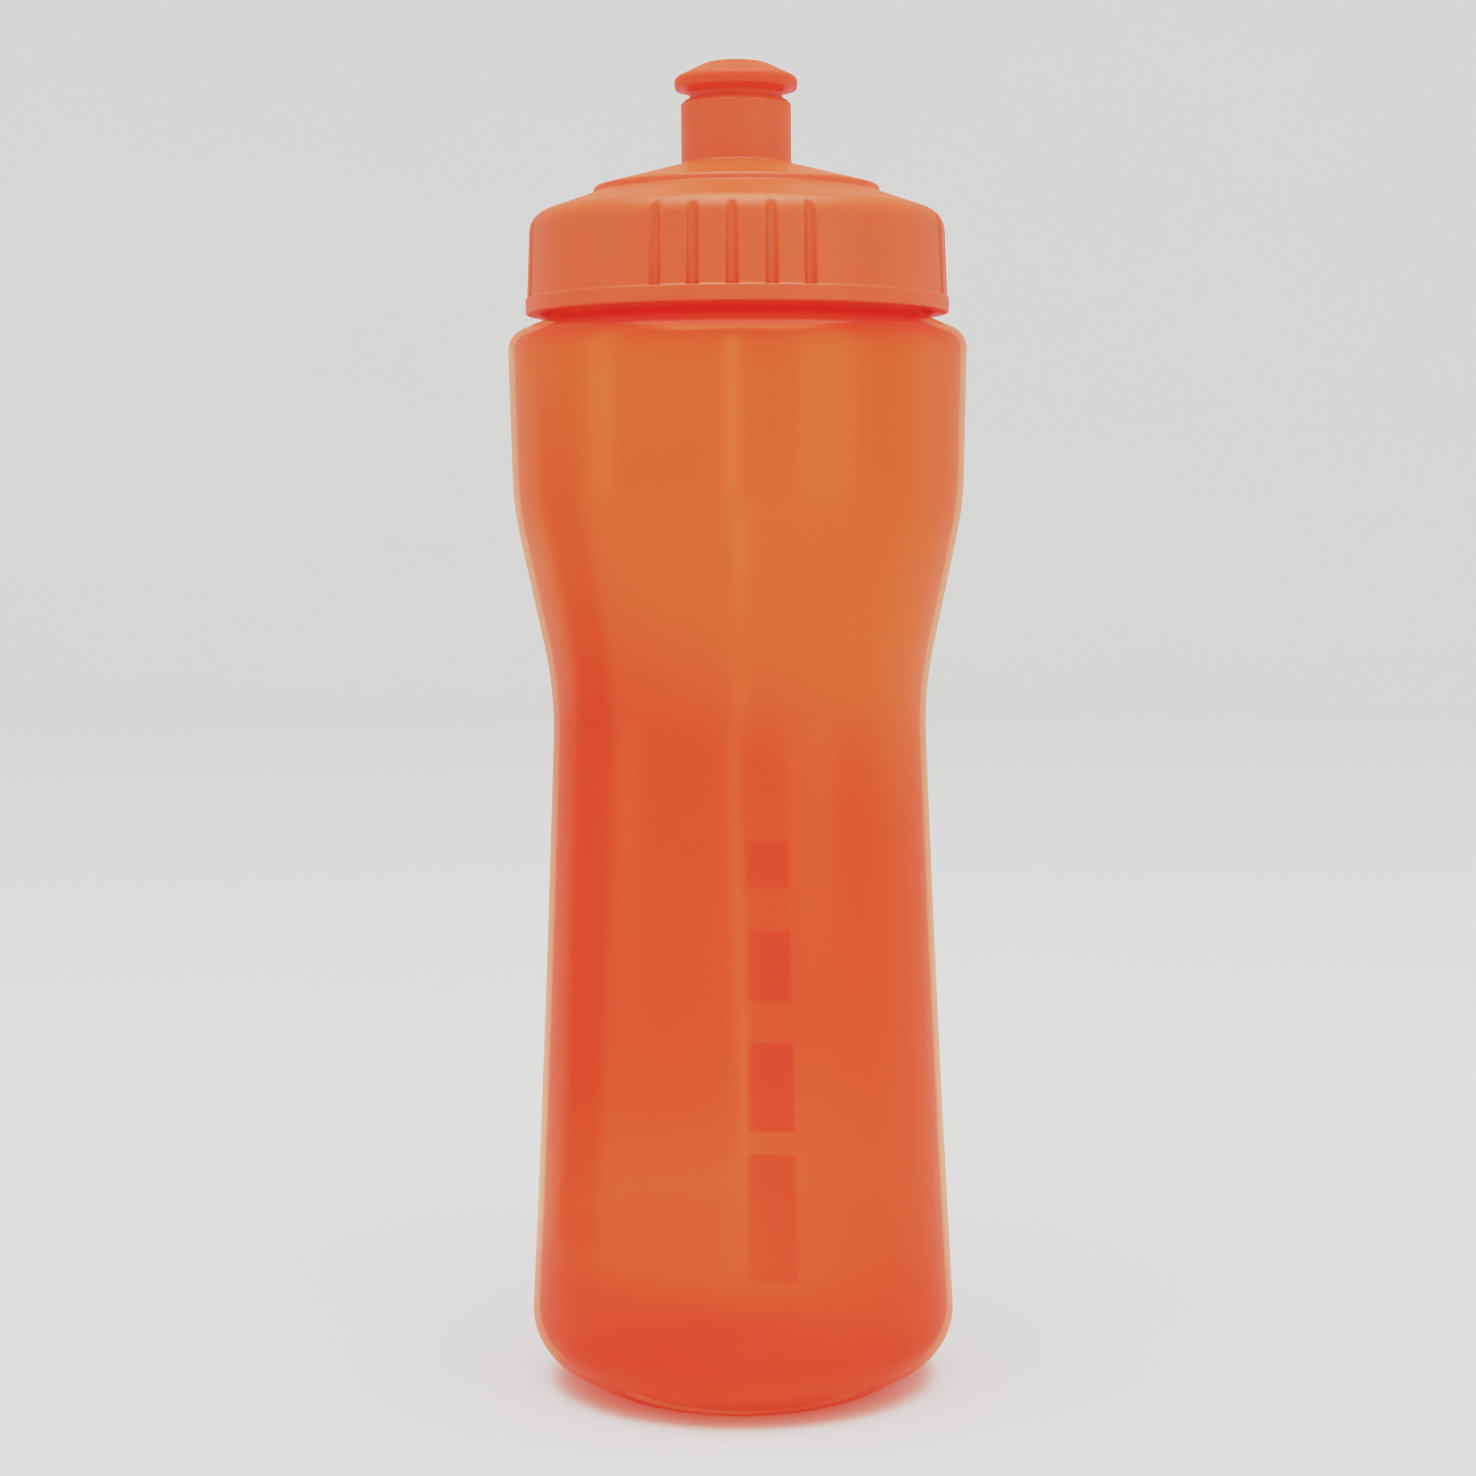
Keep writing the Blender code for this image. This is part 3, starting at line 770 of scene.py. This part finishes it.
def body_material():
    """Translucent blow-moulded polyethylene, with painted light where it looks paler and yellower and
    painted shade at the shoulder.

    Places are in metres: Z is the height above the foot, X is to the right and Y to the back.
    """
    n = Nodes("body_polyethylene")
    height = n.along("Z")

    # Painted light, paler and yellower, above the waist and in a band above the base, a little uneven
    aside = n.math("MULTIPLY", n.along("X"), WAIST_TILT)
    upper = n.math("MULTIPLY", n.between(n.math("ADD", height, aside), *WAIST_ZONE, smooth=True),
                   n.between(height, *UNDER_SHOULDER, smooth=True))
    lower = n.math("MULTIPLY", n.between(height, *BAND_TOP, smooth=True),
                   n.between(height, *BAND_LOW, smooth=True))
    lower = n.math("MULTIPLY", lower, n.between(n.along("X"), *BAND_LEFT, 0.3, 1.0, smooth=True))
    lower = n.math("MULTIPLY", lower, n.between(n.along("Y"), *BAND_BACK, 0.75, 1.7))
    patches = n.between(n.noise(22, 0, 0.4, (1, 1, 0.45)), 0.3, 0.7, -PATCHES, PATCHES)
    painted_light = n.math("ADD", n.math("MAXIMUM", upper, n.math("MULTIPLY", lower, BAND_SHARE)), patches)
    painted_light = n.between(painted_light, 0, 1)

    # Colour darker towards the base, with painted shade at the shoulder, painted light at the very foot and
    # a painted glow at the neck
    seal_thickness_and_body_darkening = n.math("MAXIMUM", n.between(height, *BASE_ZONE), n.between(height, *SHOULDER_ZONE))
    deep = n.blend(seal_thickness_and_body_darkening, BODY_DEEP, BODY_DARK_BASE_AND_SHOULDER_SHADE)
    colour = n.blend(painted_light, deep, BODY_PAINTED_LIGHT)
    colour = n.blend(n.between(height, *FOOT_ZONE, smooth=True), colour, BODY_PAINTED_LIGHT)
    neck = n.between(height, *NECK_ZONE)
    colour = n.blend(neck, colour, BODY_NECK_PAINTED_GLOW)
    tint = n.blend(neck, n.blend(painted_light, BODY_TINT_DEEP, BODY_TINT_PAINTED_LIGHT), BODY_TINT_NECK)

    # Fine grain, upright drawing lines, soft waves and scuffs
    grain = n.noise(900, 0)
    flow = n.noise(260, 0, 0.5, (1, 1, 0.04))
    waves = n.noise(34, 0, 0.4, (1, 1, 0.5))
    normal = n.bumped(waves, 0.25, 0.0012)
    normal = n.bumped(flow, 0.10, 0.00012, normal)
    normal = n.bumped(grain, 0.14, 0.00006, normal)
    scuffs = n.between(n.noise(60, 3, 0.65), 0.5, 0.75, 0.0, 0.035)
    gloss = n.math("ADD", n.between(n.noise(18, 0), 0.3, 0.7, 0.195, 0.23), scuffs)

    # A milky surface that lets some light straight through
    surface = n.milky(BODY_MILKY, n.principled(colour, gloss, normal, specular=0.2), colour, normal)
    through = n.add("ShaderNodeBsdfTransparent")
    n.put(through.inputs["Color"], tint)
    surface = n.mixed(BODY_CLEAR, surface, through.outputs["BSDF"])

    # Gloss over all of it, stronger and paler towards the edges
    shine = n.add("ShaderNodeBsdfGlossy")
    n.put(shine.inputs["Roughness"], gloss)
    n.put(shine.inputs["Normal"], normal)
    edge = n.add("ShaderNodeLayerWeight")
    edge.inputs["Blend"].default_value = 0.5
    n.put(edge.inputs["Normal"], normal)
    sheen = n.blend(n.between(edge.outputs["Facing"], 0.4, 0.8), BODY_SHEEN, BODY_SHEEN_EDGE)
    n.put(shine.inputs["Color"], sheen)
    rising = n.math("POWER", edge.outputs["Facing"], 4.0)
    coat = n.between(rising, 0, 1, GLOSS_FACING, GLOSS_EDGE)
    coat = n.math("MULTIPLY", coat, n.between(height, *GLOSS_RISE, 0.74, 1.16))
    coat = n.math("MULTIPLY", coat, n.between(height, *MATT_SHOULDER, 1.0, 0.4))
    return n.finished(n.mixed(coat, surface, shine.outputs["BSDF"]))


def moulded_material(name, colour, roughness, specular):
    """Injection-moulded plastic with a satin grain, faint flow marks and light handling wear."""
    n = Nodes(name)
    cloud = n.between(n.noise(45, 3, 0.55), 0.3, 0.7)
    deeper = tuple(part * 0.93 for part in colour)
    tone = n.blend(cloud, deeper, colour)
    grain = n.noise(1500, 2, 0.6)
    flow = n.noise(120, 2, 0.5, (1, 1, 0.25))
    normal = n.bumped(flow, 0.08, 0.00015)
    normal = n.bumped(grain, 0.16, 0.00005, normal)
    scuffs = n.between(n.noise(140, 6, 0.7, (1, 1, 0.6)), 0.58, 0.72, 0.0, 0.14)
    gloss = n.math("ADD", n.between(n.noise(30, 2), 0.3, 0.7, roughness - 0.04, roughness + 0.04), scuffs)
    surface = n.principled(tone, gloss, normal, specular, subsurface=0.5, radius=0.003)
    return n.finished(n.milky(MOULDED_MILKY, surface, tone))


def seal_material():
    n = Nodes("seal_rubber_soft")
    cloud = n.between(n.noise(300, 3, 0.6), 0.35, 0.65)
    tone = n.blend(cloud, tuple(part * 0.92 for part in SEAL_COLOUR), SEAL_COLOUR)
    normal = n.bumped(n.noise(1800, 2, 0.6), 0.2, 0.00005)
    gloss = n.between(n.noise(80, 2), 0.3, 0.7, 0.6, 0.72)
    return n.finished(n.principled(tone, gloss, normal, specular=0.35))


def ink_material():
    """Thin screen-printed ink, a little uneven, which lets some light through."""
    n = Nodes("bar_ink")
    cloud = n.between(n.noise(400, 3, 0.6), 0.3, 0.7)
    tone = n.blend(cloud, tuple(part * 0.9 for part in INK_COLOUR), INK_COLOUR)
    gloss = n.between(n.noise(500, 2), 0.3, 0.7, 0.4, 0.55)
    return n.finished(n.milky(INK_MILKY, n.principled(tone, gloss), tone))


def floor_material():
    n = Nodes("floor_paper")
    cloud = n.between(n.noise(3, 3, 0.5), 0.3, 0.7)
    tone = n.blend(cloud, (0.70, 0.697, 0.69), (0.73, 0.727, 0.72))
    normal = n.bumped(n.noise(700, 3, 0.6), 0.15, 0.0001)
    gloss = n.between(n.noise(40, 2), 0.3, 0.7, 0.75, 0.85)
    return n.finished(n.principled(tone, gloss, normal, specular=0.2))


# ---------------------------------------------------------------- stage, light and camera

FLOOR_RADIUS = 1.5
BOWL_CURVE = 0.7
BOWL_HEIGHT = 1.6
BOWL_STEPS = 24
BOWL_SIDES = 96

LIGHT_AIM = 0.11           # height that the soft boxes face

FLAG_FROM = -82            # degrees round the bottle from the front, where the dark card stands
FLAG_TO = -115
FLAG_NEAR = 0.14
FLAG_DISTANCE = 0.32
FLAG_HEIGHT = 0.16
FLAG_LIFT = 0.002
FLAG_STEPS = 12


def make_stage():
    """A pale round floor that curves up into a low wall all the way round."""
    mesh = bmesh.new()
    profile = [(0.0, 0.0), (0.3, 0.0), (0.8, 0.0), (FLOOR_RADIUS, 0.0)]
    for step in range(1, BOWL_STEPS + 1):
        turn = math.pi / 2 * step / BOWL_STEPS
        profile.append((FLOOR_RADIUS + BOWL_CURVE * math.sin(turn), BOWL_CURVE * (1 - math.cos(turn))))
    profile.append((FLOOR_RADIUS + BOWL_CURVE, BOWL_HEIGHT))
    verts = [mesh.verts.new((radius, 0, height)) for radius, height in profile]
    edges = [mesh.edges.new(pair) for pair in zip(verts, verts[1:])]
    bmesh.ops.spin(mesh, geom=verts + edges, cent=(0, 0, 0), axis=(0, 0, 1), angle=math.tau,
                   steps=BOWL_SIDES, use_merge=True)
    bmesh.ops.remove_doubles(mesh, verts=mesh.verts, dist=1e-6)
    data = bpy.data.meshes.new("studio_floor")
    mesh.to_mesh(data)
    mesh.free()
    floor = finished("studio_floor", data)
    floor.data.materials.append(floor_material())


def softbox(name, azimuth, elevation, distance, width, height, power):
    """An area light aimed at the middle of the bottle. Azimuth 0 is the front, and + is to the right."""
    light = bpy.data.lights.new(name, "AREA")
    light.shape = "RECTANGLE"
    light.size = width
    light.size_y = height
    light.energy = power
    obj = bpy.data.objects.new(name, light)
    turn = math.radians(azimuth)
    rise = math.radians(elevation)
    target = Vector((0, 0, LIGHT_AIM))
    away = Vector((math.sin(turn) * math.cos(rise), -math.cos(turn) * math.cos(rise), math.sin(rise)))
    obj.location = target + away * distance
    obj.rotation_euler = (-away).to_track_quat("-Z", "Y").to_euler()
    obj.visible_camera = False
    bpy.context.scene.collection.objects.link(obj)


def make_flag():
    """A bent black card on the left, lying and standing on the floor, for the bottle to reflect as a stripe.

    The camera doesn't see it, and it casts no shadow.
    """
    mesh = bmesh.new()
    profile = ((FLAG_NEAR, FLAG_LIFT), (FLAG_DISTANCE, FLAG_LIFT), (FLAG_DISTANCE, FLAG_HEIGHT))
    columns = []
    for turn in np.radians(np.linspace(FLAG_FROM, FLAG_TO, FLAG_STEPS + 1)):
        away = Vector((math.sin(turn), -math.cos(turn), 0))
        columns.append([mesh.verts.new(away * reach + Vector((0, 0, height))) for reach, height in profile])
    for column, following in zip(columns, columns[1:]):
        for step in range(len(profile) - 1):
            mesh.faces.new((column[step], following[step], following[step + 1], column[step + 1]))
    data = bpy.data.meshes.new("dark_card")
    mesh.to_mesh(data)
    mesh.free()
    card = finished("dark_card", data)
    n = Nodes("card_black")
    data.materials.append(n.finished(n.principled((0.01, 0.01, 0.01), 0.9)))
    card.visible_camera = False
    card.visible_diffuse = False
    card.visible_shadow = False


def make_light():
    world = bpy.data.worlds.new("studio")
    world.use_nodes = True
    background = world.node_tree.nodes["Background"]
    background.inputs["Color"].default_value = (1.0, 0.99, 0.975, 1.0)
    background.inputs["Strength"].default_value = 1.0
    bpy.context.scene.world = world
    softbox("overhead", 0, 78, 1.5, 1.6, 1.6, 62)
    softbox("left_strip", -70, 14, 1.1, 0.28, 1.3, 2.0)
    softbox("middle_strip", -3, 4, 1.0, 0.04, 0.5, 0.55)
    softbox("low_strip", 1, -14, 0.3, 0.014, 0.06, 0.016)
    softbox("right_front", 44, 14, 1.25, 0.7, 1.3, 4.5)
    softbox("right_side", 105, 12, 1.25, 0.6, 1.2, 1.3)
    make_flag()


HAZE = 0.0125              # level of black in the picture
PAPER_WHITE = 0.74         # level of the brightest light, TONE_END
TONE_END = 2.0
TONE_POINTS = ((0.1, 0.092), (0.3, 0.265), (0.6, 0.50), (0.85, 0.63), (1.15, 0.67), (1.5, 0.70))

CAMERA_DISTANCE = 0.46893
CAMERA_HEIGHT = 0.14294
CAMERA_ASIDE = -0.0003
CAMERA_PITCH = math.radians(4.6)
CAMERA_ROLL = math.radians(-0.35)
LENS = 70.7


def make_camera():
    data = bpy.data.cameras.new("camera")
    data.lens = LENS
    data.sensor_width = 36
    data.clip_start = 0.01
    camera = bpy.data.objects.new("camera", data)
    middle = (Vector(CAD_BOX[0]) + Vector(CAD_BOX[1])) / 2
    tilt = Matrix.Rotation(math.pi / 2 - CAMERA_PITCH, 4, "X")
    place = Matrix.Translation((middle.x + CAMERA_ASIDE, middle.y - CAMERA_DISTANCE, CAMERA_HEIGHT))
    camera.matrix_world = place @ tilt @ Matrix.Rotation(CAMERA_ROLL, 4, "Z")
    bpy.context.scene.collection.objects.link(camera)
    bpy.context.scene.camera = camera


def set_tone():
    """A plain view transform whose whites end at a pale grey, and light paths short enough to be quick."""
    scene = bpy.context.scene
    view = scene.view_settings
    view.view_transform = "Standard"
    view.use_curve_mapping = True
    curves = view.curve_mapping
    curves.white_level = (TONE_END, TONE_END, TONE_END)
    curves.extend = "HORIZONTAL"
    combined = curves.curves[3]
    combined.points[0].location = (0, HAZE)
    combined.points[1].location = (1, PAPER_WHITE)
    for light, level in TONE_POINTS:
        combined.points.new(light / TONE_END, level)
    curves.update()
    scene.cycles.max_bounces = 10
    scene.cycles.diffuse_bounces = 5
    scene.cycles.glossy_bounces = 3
    scene.cycles.transmission_bounces = 4
    scene.cycles.transparent_max_bounces = 10


# ---------------------------------------------------------------- the bottle

def main():
    body = make_body()
    lid = make_cap()
    spout = make_spout()
    seal = make_seal()
    bars = make_bars()
    ink = ink_material()
    for piece, material, carrier, finish in (
        (body, body_material(), "bottle", "body_plastic"),
        (lid, moulded_material("lid_polypropylene", LID_COLOUR, 0.42, 0.45), "lid", "cap_plastic"),
        (spout, moulded_material("spout_polyethylene", SPOUT_COLOUR, 0.42, 0.21), "spout", "spout_plastic"),
        (seal, seal_material(), "seal", "seal_rubber"),
    ):
        piece.data.materials.append(material)
        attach(piece, carrier)
    for bar in bars:
        bar.data.materials.append(ink)
        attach(bar, "bottle")
    make_stage()
    make_light()
    make_camera()
    set_tone()


main()
